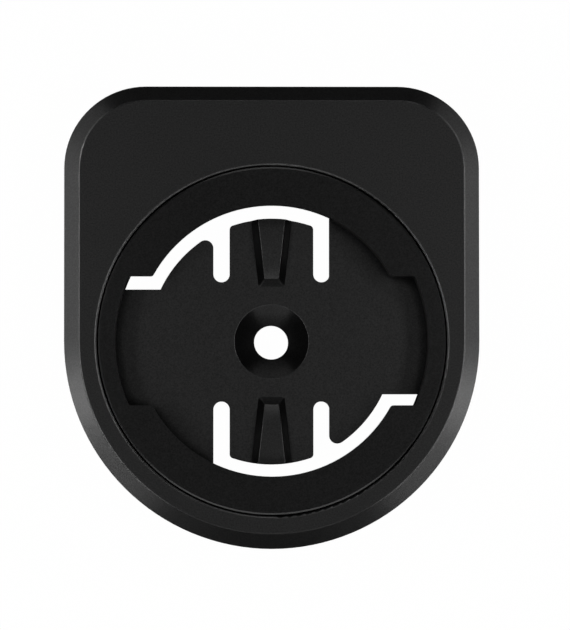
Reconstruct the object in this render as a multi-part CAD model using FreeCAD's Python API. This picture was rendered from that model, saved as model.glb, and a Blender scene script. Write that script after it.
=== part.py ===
import FreeCAD, Part
import math
import os

# Bike light mount: a tombstone-shaped housing with a round quarter-turn socket insert.
# Millimetres. The screw hole's axis is Z, the back plane is Z = 0, the face looks up (+Z),
# and the straight edge of the plate is towards +Y.

# Quarter-turn interface: the foot's tabs enter at the side notches and turn under the lips
tab_half_width = 6.0
stop_clearance = 0.13
notch_clearance = 0.65
notch_corner_round = 0.35
lip_inner_radius = 14.22
lip_overhang = 2.21
lip_thickness = 1.6
socket_depth = 3.8

# Floor with its slots and spring tongues
floor_edge_setback = 1.28
floor_lobe_round = 0.85
slot_lead = 0.62
slit_width = 1.72
slit_root = 6.28
tongue_corner_round = 0.45
tongue_thickness = 1.5

# Detent ridge on each tongue
ridge_height = 1.5
ridge_root_height = 0.54
ridge_root_gap = 1.91
ridge_root_half_width = 1.38
ridge_tip_half_width = 2.15
ridge_side_run = 0.7
ridge_end_run = 0.8
ridge_crown_setback = 2.4
ridge_tip_drop = 0.24
ridge_section_count = 5
ridge_corner_round = 0.25
ridge_crest_round = 0.1

# Rim of the insert and its seat in the housing
rim_wall = 1.77
rim_edge_width = 0.16
rim_edge_drop = 0.07
seat_clearance = 0.12
seat_width = 1.6
insert_sink = 0.1

# Centre boss and countersunk screw hole
screw_hole_radius = 1.82
countersink_radius = 3.92
countersink_angle = 100.0
countersink_edge_round = 0.12
boss_radius = 6.0
boss_edge_chamfer = 0.3

# Ribs under the floor where it has no slots: two plain ones, and two whose ends key into the
# housing's ledge so that the insert cannot turn in its bore
rib_width = 1.2
rib_recess = 0.5
plain_rib_angle = 0.0
key_rib_angle = 40.0
key_reach = 1.0
key_clearance = 0.1

# Housing
side_margin = 3.48
top_margin = 8.45
top_corner_radius = 8.6
housing_height = 8.0
face_bevel = 1.6
bevel_edge_round = 0.25
back_edge_chamfer = 0.4
ledge_height = 2.0
bore_edge_round = 0.3

# Cored back of the housing, above the bore
core_wall = 2.0
core_web = 2.2
core_bore_wall = 1.8
core_rib_width = 1.2
core_cell_width = 4.4
core_cell_count = 6
core_corner_round = 0.5

# Worked out from the sizes above
tab_path_radius = lip_inner_radius + lip_overhang
stop_offset = tab_half_width + stop_clearance
notch_half_height = stop_offset + notch_clearance
floor_radius = lip_inner_radius - floor_edge_setback
ridge_root = countersink_radius + ridge_root_gap
ridge_crown = floor_radius - ridge_crown_setback
tongue_half_width = stop_offset - slit_width
insert_radius = tab_path_radius + rim_wall
bore_radius = insert_radius + seat_clearance
ledge_inner_radius = bore_radius - seat_width
housing_half_width = bore_radius + side_margin
top_edge_y = bore_radius + top_margin
insert_top = housing_height - insert_sink
floor_top = insert_top - socket_depth
floor_middle = (floor_top + ledge_height) / 2
lip_underside = insert_top - lip_thickness
countersink_depth = (countersink_radius - screw_hole_radius) / math.tan(math.radians(countersink_angle / 2))

# Overrun of a cutting shape past the face it cuts, a length past the whole plate, and how close
# two measures are to count as the same
beyond = 1.0
far = 2 * top_edge_y
same = 1e-3

Z_AXIS = FreeCAD.Vector(0, 0, 1)
ORIGIN = FreeCAD.Vector(0, 0, 0)


def at(x, y, z=0.0):
    return FreeCAD.Vector(x, y, z)


def disc(radius, low, high):
    return Part.makeCylinder(radius, high - low, at(0, 0, low))


def block(x_range, y_range, z_range):
    (x0, x1), (y0, y1), (z0, z1) = x_range, y_range, z_range
    return Part.makeBox(x1 - x0, y1 - y0, z1 - z0, at(x0, y0, z0))


def half_turn(shape):
    """The same shape on the other side of the screw hole's axis."""
    turned = shape.copy()
    turned.rotate(ORIGIN, Z_AXIS, 180)
    return turned


def both_sides(shape):
    return shape.fuse(half_turn(shape))


def near(value, target):
    return abs(value - target) < same


def upright_edges(shape, low, high, wanted):
    """Vertical straight edges from low to high whose (x, y) place is wanted."""
    found = []
    for edge in shape.Edges:
        box = edge.BoundBox
        upright = near(box.XLength, 0) and near(box.YLength, 0)
        if upright and near(box.ZMin, low) and near(box.ZMax, high):
            if wanted(box.Center.x, box.Center.y):
                found.append(edge)
    return found


def level_edges(shape, level, wanted=lambda low, high: True):
    """Edges that lie at one height and whose distance range from the Z axis is wanted."""
    found = []
    for edge in shape.Edges:
        box = edge.BoundBox
        if near(box.ZLength, 0) and near(box.ZMin, level):
            reach = [math.hypot(point.x, point.y) for point in edge.discretize(5)]
            if wanted(min(reach), max(reach)):
                found.append(edge)
    return found


def rising_edges(shape, low, wanted):
    """Edges that climb from the level low and whose middle's y is wanted."""
    found = []
    for edge in shape.Edges:
        box = edge.BoundBox
        if near(box.ZMin, low) and box.ZLength > same and wanted(box.Center.y):
            found.append(edge)
    return found


def spoke(angle, radius_range, width, z_range):
    """Pair of opposite straight bars that run outwards from the Z axis at an angle."""
    bar = block(radius_range, (-width / 2, width / 2), z_range)
    bar.rotate(ORIGIN, Z_AXIS, angle)
    return both_sides(bar)


# Housing

def outline(inset, low):
    """The plate's outline, moved inwards by inset: flat top, round corners, half-round bottom."""
    half = housing_half_width - inset
    top = top_edge_y - inset
    corner = top_corner_radius - inset
    lean = corner * (1 - math.sqrt(0.5))
    left_side = Part.LineSegment(at(-half, 0, low), at(-half, top - corner, low))
    left_corner = Part.Arc(at(-half, top - corner, low), at(-half + lean, top - lean, low),
                           at(-half + corner, top, low))
    top_side = Part.LineSegment(at(-half + corner, top, low), at(half - corner, top, low))
    right_corner = Part.Arc(at(half - corner, top, low), at(half - lean, top - lean, low),
                            at(half, top - corner, low))
    right_side = Part.LineSegment(at(half, top - corner, low), at(half, 0, low))
    bottom = Part.Arc(at(half, 0, low), at(0, -half, low), at(-half, 0, low))
    curves = (left_side, left_corner, top_side, right_corner, right_side, bottom)
    return Part.Wire([curve.toShape() for curve in curves])


def plate():
    """Solid plate with its bevelled face and softened edges."""
    solid = Part.Face(outline(0, 0)).extrude(at(0, 0, housing_height))
    rim = level_edges(solid, housing_height)
    solid = solid.makeChamfer(face_bevel, rim)
    foot = level_edges(solid, 0)
    solid = solid.makeChamfer(back_edge_chamfer, foot)
    bevel_line = level_edges(solid, housing_height)
    return solid.makeFillet(bevel_edge_round, bevel_line)


def core_pockets():
    """Row of cells that hollow the thick top of the plate from behind, with ribs between them."""
    core_top = housing_height - core_web
    field = Part.Face(outline(core_wall, -beyond)).extrude(at(0, 0, core_top + beyond))
    field = field.cut(disc(bore_radius + core_bore_wall, -2 * beyond, core_top + beyond))
    pitch = core_cell_width + core_rib_width
    cells = []
    for number in range(core_cell_count):
        left = (number - core_cell_count / 2) * pitch + core_rib_width / 2
        column = block((left, left + core_cell_width), (0, far), (-2 * beyond, core_top + beyond))
        cell = field.common(column).Solids[0]
        corners = upright_edges(cell, -beyond, core_top, lambda x, y: True)
        cells.append(cell.makeFillet(core_corner_round, corners))
    return cells


def keyways():
    """Notches in the ledge for the insert's keyed ribs."""
    reach = (ledge_inner_radius - beyond, ledge_inner_radius + key_reach + key_clearance)
    return spoke(key_rib_angle, reach, rib_width + 2 * key_clearance, (-beyond, ledge_height + beyond))


def make_housing():
    solid = plate()
    solid = solid.cut(disc(bore_radius, ledge_height, housing_height + beyond))
    solid = solid.cut(disc(ledge_inner_radius, -beyond, housing_height))
    mouth = level_edges(solid, housing_height, lambda low, high: near(low, bore_radius))
    solid = solid.makeFillet(bore_edge_round, mouth)
    return solid.cut(core_pockets() + [keyways()])


# Socket insert

def socket_opening(low, high):
    """Round mouth between the lips, with an entry notch at each side."""
    strip = block((-far, far), (-notch_half_height, notch_half_height), (low, high))
    notches = disc(tab_path_radius, low, high).common(strip)
    mouth = disc(lip_inner_radius, low, high).fuse(notches).removeSplitter()
    return mouth.makeFillet(notch_corner_round, upright_edges(mouth, low, high, lambda x, y: True))


def tab_path():
    """Space under the upper lip that a tab turns through, from its notch up to the stop."""
    swept = disc(tab_path_radius, floor_top, lip_underside)
    return swept.common(block((-far, stop_offset), (0, far), (floor_top, lip_underside)))


def floor_slots():
    """Through slots in one half of the floor: the arc under the lip and the two slits."""
    low = -beyond
    high = floor_top
    floor = disc(floor_radius, low, high)
    bay = block((-stop_offset, stop_offset), (0, far), (low, high))
    kept_floor = floor.cut(bay)
    lobe_tip = upright_edges(kept_floor, low, high, lambda x, y: near(x, -stop_offset) and y > 0)
    kept_floor = kept_floor.makeFillet(floor_lobe_round, lobe_tip)
    tongue = floor.common(block((-tongue_half_width, tongue_half_width), (0, far), (low, high)))
    tongue_tips = upright_edges(tongue, low, high, lambda x, y: y > slit_root)
    tongue = tongue.makeFillet(tongue_corner_round, tongue_tips)
    end_radius = slit_width / 2
    root = block((-stop_offset, stop_offset), (0, slit_root + end_radius), (low, high))
    slots = disc(tab_path_radius, low, high)
    slots = slots.common(block((-far, stop_offset), (stop_offset - slot_lead, far), (low, high)))
    slots = slots.fuse(bay.common(disc(tab_path_radius, low, high)))
    slots = slots.cut([kept_floor, tongue, root])
    for side in (-1, 1):
        end_centre = at(side * (stop_offset - end_radius), slit_root + end_radius, low)
        slots = slots.fuse(Part.makeCylinder(end_radius, high - low, end_centre))
    return slots.removeSplitter()


def ridge_crest(y):
    """Height of the crowned crest at y: it falls from the crown to the root, and a little to the tip."""
    if y < ridge_crown:
        drop = (ridge_height - ridge_root_height) * ((ridge_crown - y) / (ridge_crown - ridge_root)) ** 2
    else:
        drop = ridge_tip_drop * ((y - ridge_crown) / ridge_crown_setback) ** 2
    return floor_top + ridge_height - drop


def ridge_section(y):
    """Cross-section of the ridge: it widens outwards, and its sides always run in by the same width."""
    widening = (ridge_tip_half_width - ridge_root_half_width) / (floor_radius - ridge_root)
    foot = ridge_root_half_width + widening * (y - ridge_root)
    crest = foot - ridge_side_run
    corners = [at(-foot, y, floor_top), at(foot, y, floor_top),
               at(crest, y, ridge_crest(y)), at(-crest, y, ridge_crest(y))]
    return Part.makePolygon(corners + corners[:1])


def ridge_end_cut():
    """Space that the ridge may fill, bounded by its sloping end wall towards the screw hole."""
    rise = (ridge_crest(ridge_root + ridge_end_run) - floor_top) / ridge_end_run
    corners = [at(-far, ridge_root, floor_top), at(-far, ridge_root + beyond, floor_top + rise * beyond),
               at(-far, ridge_root + beyond, insert_top), at(-far, far, insert_top), at(-far, far, floor_top)]
    return Part.Face(Part.makePolygon(corners + corners[:1])).extrude(at(2 * far, 0))


def detent_ridge():
    """Ridge along the tongue that the groove in the light's tab drops on."""
    start = ridge_root - ridge_end_run / 2
    reach = floor_radius + ridge_end_run / 2 - start
    sections = [ridge_section(start + reach * number / (ridge_section_count - 1))
                for number in range(ridge_section_count)]
    ridge = Part.makeLoft(sections, True, False)
    ridge = ridge.common(ridge_end_cut()).common(disc(floor_radius, floor_top, insert_top))
    end_corners = rising_edges(ridge, floor_top, lambda y: y < ridge_root + ridge_end_run)
    ridge = ridge.makeFillet(ridge_corner_round, end_corners)
    crest_edges = [edge for edge in ridge.Edges if edge.BoundBox.ZMin > floor_top + same]
    return ridge.makeFillet(ridge_crest_round, crest_edges)


def screw_hole():
    """Straight hole with a countersink whose rim lies on the floor."""
    cone_low = floor_top - countersink_depth
    cone = Part.makeCone(screw_hole_radius, countersink_radius, countersink_depth, at(0, 0, cone_low))
    return cone.fuse(disc(screw_hole_radius, -beyond, floor_top)).removeSplitter()


def centre_boss():
    """Boss under the floor that carries the screw's clamping load down to the back plane."""
    boss = disc(boss_radius, 0, floor_middle)
    foot = level_edges(boss, 0)
    return boss.makeChamfer(boss_edge_chamfer, foot)


def floor_ribs():
    """Ribs between the boss and the rim, under the parts of the floor that carry the lips."""
    z_range = (rib_recess, floor_middle)
    plain_reach = (boss_radius / 2, ledge_inner_radius - seat_clearance)
    key_rib_reach = (boss_radius / 2, ledge_inner_radius + key_reach)
    return [spoke(plain_rib_angle, plain_reach, rib_width, z_range),
            spoke(key_rib_angle, key_rib_reach, rib_width, z_range)]


def make_insert():
    solid = disc(insert_radius, ledge_height, insert_top)
    solid = solid.cut(socket_opening(floor_top, insert_top + beyond))
    solid = solid.cut(both_sides(tab_path()))
    slots = both_sides(floor_slots())
    solid = solid.cut(slots)
    relief = block((-stop_offset, stop_offset), (slit_root, floor_radius + beyond),
                   (ledge_height - beyond, floor_top - tongue_thickness))
    solid = solid.cut(both_sides(relief))
    solid = solid.fuse([centre_boss()] + floor_ribs())
    solid = solid.fuse(both_sides(detent_ridge()))
    solid = solid.cut(screw_hole()).removeSplitter()
    rim = level_edges(solid, insert_top, lambda low, high: near(low, insert_radius))
    solid = solid.makeChamfer(rim_edge_drop, rim_edge_width, rim)
    sink_rim = level_edges(solid, floor_top, lambda low, high: near(low, countersink_radius))
    return solid.makeFillet(countersink_edge_round, sink_rim)


def main():
    os.makedirs("parts", exist_ok=True)
    pieces = {"housing": make_housing(), "socket_insert": make_insert()}
    for name, shape in pieces.items():
        shape.exportStep("parts/" + name + ".step")
        box = shape.BoundBox
        print(name, "valid", shape.isValid(), "solids", len(shape.Solids), "volume", round(shape.Volume, 1),
              "box", [round(v, 2) for v in (box.XMin, box.YMin, box.ZMin, box.XMax, box.YMax, box.ZMax)])


main()
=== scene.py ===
# %% [markdown]
# # A bike light mount in black moulded plastic
#
# This notebook dresses a small mount for a bicycle light. The real object is two mouldings: a
# tombstone-shaped housing with a bevel round its face, and a round quarter-turn socket that sits
# in it. Their shapes come from the CAD frame and are already right, so the work here is what makes
# plastic look like plastic: its gloss, its fine grain, and above all the lamps that it mirrors.

# %% Load the CAD frame
import math

import bpy
from mathutils import Matrix, Vector


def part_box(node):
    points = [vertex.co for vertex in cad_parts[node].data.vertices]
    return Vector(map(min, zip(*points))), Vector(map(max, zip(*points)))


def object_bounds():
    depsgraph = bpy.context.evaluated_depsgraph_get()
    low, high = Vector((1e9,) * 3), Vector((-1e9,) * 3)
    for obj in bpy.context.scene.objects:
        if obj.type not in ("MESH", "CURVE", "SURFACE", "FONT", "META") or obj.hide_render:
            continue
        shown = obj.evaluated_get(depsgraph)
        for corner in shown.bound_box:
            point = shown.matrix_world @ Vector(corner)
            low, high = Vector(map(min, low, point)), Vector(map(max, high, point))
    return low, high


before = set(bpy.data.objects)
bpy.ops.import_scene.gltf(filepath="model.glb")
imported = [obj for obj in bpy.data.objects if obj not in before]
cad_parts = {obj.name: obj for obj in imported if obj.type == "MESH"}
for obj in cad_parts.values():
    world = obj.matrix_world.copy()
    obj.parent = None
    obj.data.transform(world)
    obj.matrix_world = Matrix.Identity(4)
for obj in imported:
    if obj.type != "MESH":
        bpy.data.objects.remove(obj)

cad_low, cad_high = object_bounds()
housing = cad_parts["housing"]
socket_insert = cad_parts["socket_insert"]
print("pieces:", sorted(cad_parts))

# %% [markdown]
# ## Heights that the finishes need
#
# A moulding is finished zone by zone: the toolmaker polishes one face of the mould and etches
# another. To paint such zones we need the heights where they meet. The heights of the face and of
# the rim are read from the two pieces' own boxes, so those finishes follow if the part changes. No
# box tells where the socket's floor lies, so its height is written down as a real size.

# %% Read the heights of the two mouldings
MILLIMETRE = 0.001
face_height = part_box("housing")[1].z
rim_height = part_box("socket_insert")[1].z
SOCKET_FLOOR = 4.1 * MILLIMETRE
print("face at", round(face_height / MILLIMETRE, 2), "mm, rim at", round(rim_height / MILLIMETRE, 2), "mm")

# %% [markdown]
# ## The camera
#
# The photograph looks down on the face from well back. A long lens does the same here: far away,
# narrow view, so that the round socket stays round at the frame's edge. The picture is taller than
# wide, and Blender's sensor width then belongs to the taller side. The screw hole is left of and
# below the middle of the picture, so the aim point is moved by the same pixels instead of shifting
# the lens. The camera also leans a little: the deep walls show a hair more on one side than on the
# other.

# %% Place the camera over the face
FRAME_WIDTH = 570
FRAME_HEIGHT = 630
SCREW_HOLE_PIXEL = (272.1, 340.5)
PIXEL_SIZE = 0.1046 * MILLIMETRE
CAMERA_DISTANCE = 0.45
LEAN_LEFT = math.radians(1.1)
LEAN_DOWN = math.radians(2.3)
SENSOR = 36.0
NEAREST_SEEN = 0.01
FARTHEST_SEEN = 10.0

aim = Vector(((FRAME_WIDTH / 2 - SCREW_HOLE_PIXEL[0]) * PIXEL_SIZE,
              (SCREW_HOLE_PIXEL[1] - FRAME_HEIGHT / 2) * PIXEL_SIZE,
              face_height))
towards_camera = Vector((-math.sin(LEAN_LEFT), -math.sin(LEAN_DOWN), 1.0)).normalized()
picture_up = towards_camera.cross(Vector((1, 0, 0))).normalized()
picture_right = picture_up.cross(towards_camera)
camera_axes = Matrix((picture_right, picture_up, towards_camera)).transposed()

camera_data = bpy.data.cameras.new("product_camera")
camera_data.sensor_width = SENSOR
camera_data.lens = SENSOR * CAMERA_DISTANCE / (FRAME_HEIGHT * PIXEL_SIZE)
camera_data.clip_start = NEAREST_SEEN
camera_data.clip_end = FARTHEST_SEEN
camera = bpy.data.objects.new("product_camera", camera_data)
bpy.context.scene.collection.objects.link(camera)
camera.location = aim + towards_camera * CAMERA_DISTANCE
camera.rotation_mode = "QUATERNION"
camera.rotation_quaternion = camera_axes.to_quaternion()
bpy.context.scene.camera = camera
print("lens", round(camera_data.lens, 1), "mm")

# %% [markdown]
# ## A small helper for node materials
#
# Every material below is a chain of nodes. This helper adds one node, sets its plain values and
# wires its inputs, so that each finish reads as a short recipe. A pair such as (node, "Fac") is a
# wire from that node's output; anything else is a fixed value. An input is given by its name, or as
# i0, i1 and so on by its number, for nodes whose inputs share one name.

# %% Helper: add a node and wire it
def add_node(tree, kind, settings=None, **inputs):
    node = tree.nodes.new(kind)
    for name, value in (settings or {}).items():
        setattr(node, name, value)
    for name, value in inputs.items():
        key = int(name[1:]) if name[0] == "i" and name[1:].isdigit() else name.replace("_", " ")
        socket = node.inputs[key]
        if isinstance(value, tuple) and hasattr(value[0], "outputs"):
            tree.links.new(value[0].outputs[value[1]], socket)
        else:
            socket.default_value = value
    return node


def start_material(name):
    material = bpy.data.materials.new(name)
    material.use_nodes = True
    material.node_tree.nodes.clear()
    return material, material.node_tree


# %% [markdown]
# ## Moulded grain
#
# Black plastic isn't evenly black. The mould is spark-eroded or blasted, which leaves tiny hills
# about a sixth of a millimetre apart. They tilt the surface a little, which is bump, and they hold a
# trace of lighter bloom. In the photograph the grain is stronger where the plastic is brighter, so
# most of it goes into the sheen. On a larger scale the melt cools unevenly, and the gloss drifts in
# soft clouds. Object coordinates keep both patterns fixed to the piece and at their real scale.
#
# A noise texture seldom leaves the middle of its range, so that middle is what gets stretched.

# %% Helper: fine grain and soft clouds shared by both mouldings
GRAIN_SIZE = 0.16 * MILLIMETRE
CLOUD_SIZE = 6.0 * MILLIMETRE
NOISE_RANGE = (0.3, 0.7)


def moulded_patterns(tree):
    place = add_node(tree, "ShaderNodeTexCoord")
    grain = add_node(tree, "ShaderNodeTexNoise", Vector=(place, "Object"), Scale=1.0 / GRAIN_SIZE,
                     Detail=2.0, Roughness=0.6)
    clouds = add_node(tree, "ShaderNodeTexNoise", Vector=(place, "Object"), Scale=1.0 / CLOUD_SIZE,
                      Detail=3.0, Roughness=0.55)
    return place, grain, clouds


def remap(tree, source, from_range, to_range, curve="LINEAR"):
    node = add_node(tree, "ShaderNodeMapRange", {"interpolation_type": curve}, Value=source)
    node.inputs["From Min"].default_value, node.inputs["From Max"].default_value = from_range
    node.inputs["To Min"].default_value, node.inputs["To Max"].default_value = to_range
    return node


# %% [markdown]
# ## Black plastic
#
# Carbon-black plastic swallows nearly all the light that enters it. What we see is the thin mirror
# image on its surface: four percent of the lamps, smeared by the roughness. So the base colour is
# almost nothing, and roughness and sheen do the work. The two mouldings share one recipe. It takes
# three roughnesses, for the deep parts, the main level and the top, with soft steps between their
# heights, and a factor for the sheen of the top.
#
# The grain's sheen swings evenly round 0.5, the specular level's own value. The export drops a
# specular level that has a wire in it, and the input's own value is 0.5.

# %% Helper: the plastic recipe
BLOOM_DARK = (0.0003, 0.0003, 0.0003, 1)
BLOOM_LIGHT = (0.0010, 0.0010, 0.0011, 1)
CLOUD_DRIFT = 0.003
GRAIN_DRIFT = 0.012
SHEEN_DULL = 0.39
SHEEN_BRIGHT = 0.61
BUMP_STRENGTH = 0.35
BUMP_HEIGHT = 0.01 * MILLIMETRE
PLASTIC_IOR = 1.5
FLOOR_BLEND = (SOCKET_FLOOR - 0.12 * MILLIMETRE, SOCKET_FLOOR - 0.03 * MILLIMETRE)
RIM_BLEND = (rim_height - 1.2 * MILLIMETRE, rim_height - 0.3 * MILLIMETRE)


def add_up(tree, *terms):
    total = terms[0]
    for term in terms[1:]:
        total = (add_node(tree, "ShaderNodeMath", {"operation": "ADD"}, i0=total, i1=term), "Value")
    return total


def black_plastic(name, deep, level, top, top_sheen):
    material, tree = start_material(name)
    place, grain, clouds = moulded_patterns(tree)
    speckle = remap(tree, (grain, "Fac"), NOISE_RANGE, (0.0, 1.0))
    bloom = add_node(tree, "ShaderNodeValToRGB", Fac=(speckle, "Result"))
    bloom.color_ramp.elements[0].color = BLOOM_DARK
    bloom.color_ramp.elements[1].color = BLOOM_LIGHT
    height = (add_node(tree, "ShaderNodeSeparateXYZ", Vector=(place, "Object")), "Z")
    lower_step = remap(tree, height, FLOOR_BLEND, (deep, level), "SMOOTHSTEP")
    upper_step = remap(tree, height, RIM_BLEND, (0.0, top - level), "SMOOTHSTEP")
    cloudy = remap(tree, (clouds, "Fac"), NOISE_RANGE, (-CLOUD_DRIFT, CLOUD_DRIFT))
    grainy = remap(tree, (grain, "Fac"), NOISE_RANGE, (-GRAIN_DRIFT, GRAIN_DRIFT))
    roughness = add_up(tree, *[(step, "Result") for step in (lower_step, upper_step, cloudy, grainy)])
    grainy_sheen = remap(tree, (grain, "Fac"), NOISE_RANGE, (SHEEN_DULL, SHEEN_BRIGHT))
    sheen_by_height = remap(tree, height, RIM_BLEND, (1.0, top_sheen), "SMOOTHSTEP")
    sheen = add_node(tree, "ShaderNodeMath", {"operation": "MULTIPLY"},
                     i0=(grainy_sheen, "Result"), i1=(sheen_by_height, "Result"))
    bump = add_node(tree, "ShaderNodeBump", Height=(grain, "Fac"),
                    Strength=BUMP_STRENGTH, Distance=BUMP_HEIGHT)
    shader = add_node(tree, "ShaderNodeBsdfPrincipled", Base_Color=(bloom, "Color"), IOR=PLASTIC_IOR,
                      Roughness=roughness, Specular_IOR_Level=(sheen, "Value"), Normal=(bump, "Normal"))
    add_node(tree, "ShaderNodeOutputMaterial", Surface=(shader, "BSDF"))
    return material


# %% [markdown]
# ## Dress the two mouldings
#
# The housing has one satin grain all over, and so has the insert's main level. What lies under the
# socket's floor, such as the countersink, and the rim that the light rubs on are taken to be
# smoother. Seen from above a smoother face looks darker, because it mirrors the empty space round
# the camera more exactly and catches less of the lamps beside it. The rim is darker still in the
# photograph, so its sheen is turned down as well. More smoothness would do the same, but Cycles'
# denoiser takes a roughness below about 0.27 for a mirror and then leaves specks in it.

# %% Make both plastics and put them in the pieces' material slots
SATIN = 0.35
SMOOTH = 0.29
RIM_SHEEN = 0.82

housing.material_slots[0].material = black_plastic("housing_plastic", SATIN, SATIN, SATIN, 1.0)
socket_insert.material_slots[0].material = black_plastic(
    "insert_plastic", SMOOTH, SATIN, SMOOTH, RIM_SHEEN)
for piece in (housing, socket_insert):
    print(piece.name, "wears", piece.material_slots[0].material.name)

# %% [markdown]
# ## Painted edge highlights
#
# In the photograph a bright line runs along the bevel's inner edge at the two sides and fades at the
# top and the bottom, and the edge of the bore shines a little all round. The lamps give only part of
# that, so the rest is a painted highlight: the sheen is raised on the roundings at the sides and round
# the bore, and lowered at the top and the bottom. Three masks find the edges: how far the surface
# tilts (a rounding is steeper than the face and flatter than the bevel), which way it tilts, and how
# far it lies from the bore's middle. They use the normal and Object coordinates, so the painted
# highlight stays on the piece whatever the camera does.

# %% Helper: multiply a plastic's sheen by a mask
def scale_sheen(material, factor):
    tree = material.node_tree
    sheen_input = tree.nodes["Principled BSDF"].inputs["Specular IOR Level"]
    sheen_so_far = sheen_input.links[0].from_node
    scaled = add_node(tree, "ShaderNodeMath", {"operation": "MULTIPLY"},
                      i0=(sheen_so_far, "Value"), i1=(factor, "Result"))
    tree.links.new(scaled.outputs["Value"], sheen_input)


# %% Paint highlights on the housing's edges
ROUNDING_TILT = 0.87
ROUNDING_REACH = (0.09, 0.13)
SIDEWAYS_REACH = (0.45, 0.70)
TOP_EDGE_SHEEN = 0.6
SIDE_EDGE_SHEEN = 2.4
BORE_EDGE_SHEEN = 1.35
BORE_EDGE_REACH = (18.8 * MILLIMETRE, 19.0 * MILLIMETRE)


def level_part(tree, vector, operation):
    level = add_node(tree, "ShaderNodeVectorMath", {"operation": "MULTIPLY"}, i0=vector, i1=(1, 1, 0))
    return add_node(tree, "ShaderNodeVectorMath", {"operation": operation}, i0=(level, "Vector"))


def paint_edge_highlight(material):
    tree = material.node_tree
    normal = (add_node(tree, "ShaderNodeNewGeometry"), "Normal")
    place = (add_node(tree, "ShaderNodeTexCoord"), "Object")
    upward = (add_node(tree, "ShaderNodeSeparateXYZ", Vector=normal), "Z")
    off = add_node(tree, "ShaderNodeMath", {"operation": "SUBTRACT"}, i0=upward, i1=ROUNDING_TILT)
    off = add_node(tree, "ShaderNodeMath", {"operation": "ABSOLUTE"}, i0=(off, "Value"))
    on_rounding = remap(tree, (off, "Value"), ROUNDING_REACH, (1.0, 0.0))
    heading = level_part(tree, normal, "NORMALIZE")
    heading_x = (add_node(tree, "ShaderNodeSeparateXYZ", Vector=(heading, "Vector")), "X")
    sideways = add_node(tree, "ShaderNodeMath", {"operation": "ABSOLUTE"}, i0=heading_x)
    outer = remap(tree, (sideways, "Value"), SIDEWAYS_REACH,
                  (TOP_EDGE_SHEEN, SIDE_EDGE_SHEEN), "SMOOTHSTEP")
    radius = level_part(tree, place, "LENGTH")
    is_outer = remap(tree, (radius, "Value"), BORE_EDGE_REACH, (0.0, 1.0))
    edge = add_node(tree, "ShaderNodeMix", {"data_type": "FLOAT"},
                    i0=(is_outer, "Result"), i2=BORE_EDGE_SHEEN, i3=(outer, "Result"))
    factor = add_node(tree, "ShaderNodeMix", {"data_type": "FLOAT"},
                      i0=(on_rounding, "Result"), i2=1.0, i3=(edge, "Result"))
    scale_sheen(material, factor)


# Painted highlight: the housing's sheen is raised on its edge roundings at the sides and round the bore.
paint_edge_highlight(housing.material_slots[0].material)
print("edges rubbed")

# %% [markdown]
# ## Shade at the foot of the walls
#
# In the photograph a dark line marks where the socket's floor meets its walls. A closed-in corner
# sees less of the studio, but these lamps alone give only part of that line. The ambient occlusion
# The rest is painted shade: the ambient occlusion node measures how closed in a point is, and the
# insert's sheen is turned down near a wall. It says nothing about how the real part was finished.

# %% Paint shade into the insert's inner corners
CORNER_REACH = 1.6 * MILLIMETRE
CORNER_SAMPLES = 16
CORNER_OPENNESS = (0.48, 0.78)
CORNER_SHEEN = 0.3


def paint_corner_shade(material):
    tree = material.node_tree
    nook = add_node(tree, "ShaderNodeAmbientOcclusion",
                    {"samples": CORNER_SAMPLES, "only_local": True}, Distance=CORNER_REACH)
    scale_sheen(material, remap(tree, (nook, "AO"), CORNER_OPENNESS, (CORNER_SHEEN, 1.0)))


# Painted shade: the insert's sheen is lowered where a wall closes in.
paint_corner_shade(socket_insert.material_slots[0].material)
print("corners dulled")

# %% [markdown]
# ## The floor
#
# The photograph's ground is pure white, seen round the part, through the slots and through the
# screw hole. A really white table would also throw light up at the bevels and spoil their dark
# ends, so only the camera sees it white: Light Path's Is Camera Ray picks a bright surface for the
# picture, and every other ray meets a quiet grey. There is no metal or glass here that would have to
# mirror the white. The white keeps a little plain shading, which leaves the part a faint shadow to
# stand on.

# %% Lay the pale floor
FLOOR_SIZE = 3.0
FLOOR_GAP = 0.02 * MILLIMETRE
GLOW_SHARE = 0.99
QUIET_GREY = (0.03, 0.03, 0.03, 1)
PALE_GREY = (0.8, 0.8, 0.8, 1)
WHITE = (1, 1, 1, 1)

bpy.ops.object.select_all(action="DESELECT")
bpy.ops.mesh.primitive_plane_add(size=FLOOR_SIZE, location=(0, 0, cad_low.z - FLOOR_GAP))
floor = bpy.context.active_object
floor.name = "studio_floor"

floor_material, tree = start_material("studio_floor")
ray = add_node(tree, "ShaderNodeLightPath")
quiet = add_node(tree, "ShaderNodeBsdfDiffuse", Color=QUIET_GREY)
shaded = add_node(tree, "ShaderNodeBsdfDiffuse", Color=PALE_GREY)
glow = add_node(tree, "ShaderNodeEmission", Color=WHITE, Strength=1.0)
seen = add_node(tree, "ShaderNodeMixShader", Fac=GLOW_SHARE, i1=(shaded, "BSDF"), i2=(glow, "Emission"))
pick = add_node(tree, "ShaderNodeMixShader", Fac=(ray, "Is Camera Ray"),
                i1=(quiet, "BSDF"), i2=(seen, "Shader"))
add_node(tree, "ShaderNodeOutputMaterial", Surface=(pick, "Shader"))
floor.data.materials.append(floor_material)
print("floor laid at", round(floor.location.z / MILLIMETRE, 2), "mm")

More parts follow.
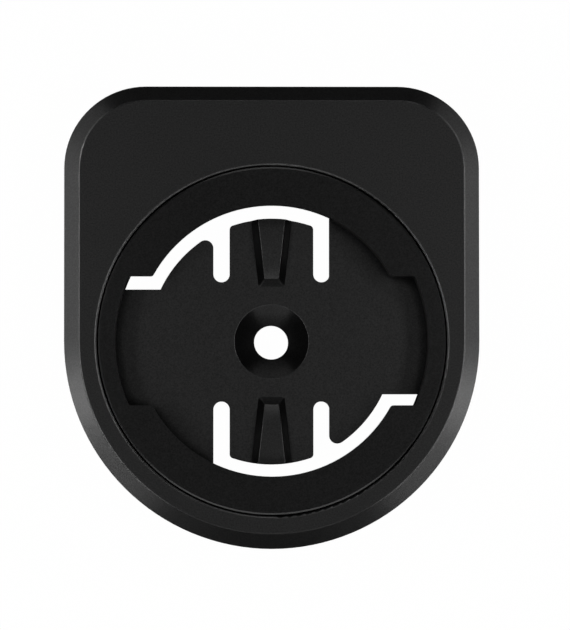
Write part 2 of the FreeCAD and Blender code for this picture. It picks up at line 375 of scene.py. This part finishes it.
# %% [markdown]
# ## Studio light
#
# Each lamp has one job, told by where its mirror image falls. A face that looks straight up mirrors
# what hangs overhead; a bevel of 45 degrees mirrors the horizon. The photograph is nearly the same
# left and right, so most boxes are hung as a mirrored pair:
#
# - side_wide, low beside the part and a little towards the bottom, turns the bevel silver at its
#   sides and leaves its top and bottom dark;
# - side_core, short and bright in front of it, makes the hot spot in the bevel's lower bend;
# - corner, weaker and towards the top, lights the two round corners;
# - foot, faint and near the bottom, keeps the bevel there from going quite black;
# - edge_line, high up, draws the bright line along the bevel's inner edge;
# - overhead, near the camera, lifts the flat faces a little.
#
# The rest hang once, on the middle line. From above and below they fill the countersink, the ridges
# and the flat faces, and nothing of the kind hangs at the sides: that is why the countersink goes
# dark left and right.
#
# A box is described as the part sees it: its direction, how wide and tall it looks, in degrees, and
# how bright its surface is. Two boxes in one plane hide each other from mirror rays, so side_core
# hangs a little nearer than side_wide.

# %% Helper: hang one softbox
LAMP_DISTANCE = 0.45
CORE_DISTANCE = 0.40


def softbox(name, azimuth, elevation, half_width, half_height, brightness, distance=LAMP_DISTANCE):
    turn, rise = math.radians(azimuth), math.radians(elevation)
    direction = Vector((math.cos(turn) * math.cos(rise), math.sin(turn) * math.cos(rise), math.sin(rise)))
    place = distance * direction
    lamp = bpy.data.lights.new(name, "AREA")
    lamp.shape = "RECTANGLE"
    lamp.size = 2 * distance * math.tan(math.radians(half_width))
    lamp.size_y = 2 * distance * math.tan(math.radians(half_height))
    lamp.energy = brightness * math.pi * lamp.size * lamp.size_y
    holder = bpy.data.objects.new(name, lamp)
    bpy.context.scene.collection.objects.link(holder)
    holder.location = place
    holder.rotation_mode = "QUATERNION"
    holder.rotation_quaternion = (-place).to_track_quat("-Z", "Y")


# %% Hang the mirrored pairs and the boxes on the middle line
# azimuth, elevation, half width, half height, brightness, and the distance where it isn't the usual
mirrored_boxes = {
    "side_wide": (-15, 3, 38, 4, 5.1),
    "side_core": (-15, 3, 8, 4, 9.4, CORE_DISTANCE),
    "corner": (39, 3, 18, 4, 2.9),
    "foot": (-65, 3, 8, 4, 0.4),
    "edge_line": (0, 57, 20, 5, 7.2),
    "overhead": (0, 76, 20, 4, 0.9),
}
middle_boxes = {
    "top_low": (90, 20, 31, 5, 1.3),
    "bottom_low": (-90, 20, 31, 5, 1.4),
    "top_half_way": (90, 46, 12, 7, 3.0),
    "bottom_half_way": (-90, 46, 33, 7, 3.0),
}
for name, (azimuth, *settings) in mirrored_boxes.items():
    softbox(name + "_right", azimuth, *settings)
    softbox(name + "_left", 180 - azimuth, *settings)
for name, settings in middle_boxes.items():
    softbox(name, *settings)
print(2 * len(mirrored_boxes) + len(middle_boxes), "softboxes")

# %% [markdown]
# ## The room
#
# The world is nearly black for the light, so that nothing but the boxes shows in the plastic, and
# white for the camera.

# %% Set the world and the plain view transform
ROOM_GLOW = 0.002

world = bpy.data.worlds.new("studio_room")
bpy.context.scene.world = world
world.use_nodes = True
tree = world.node_tree
tree.nodes.clear()
ray = add_node(tree, "ShaderNodeLightPath")
dim = add_node(tree, "ShaderNodeBackground", Color=WHITE, Strength=ROOM_GLOW)
bright = add_node(tree, "ShaderNodeBackground", Color=WHITE, Strength=1.0)
pick = add_node(tree, "ShaderNodeMixShader", Fac=(ray, "Is Camera Ray"),
                i1=(dim, "Background"), i2=(bright, "Background"))
add_node(tree, "ShaderNodeOutputWorld", Surface=(pick, "Shader"))
bpy.context.scene.view_settings.view_transform = "Standard"
print("room set, view transform", bpy.context.scene.view_settings.view_transform)
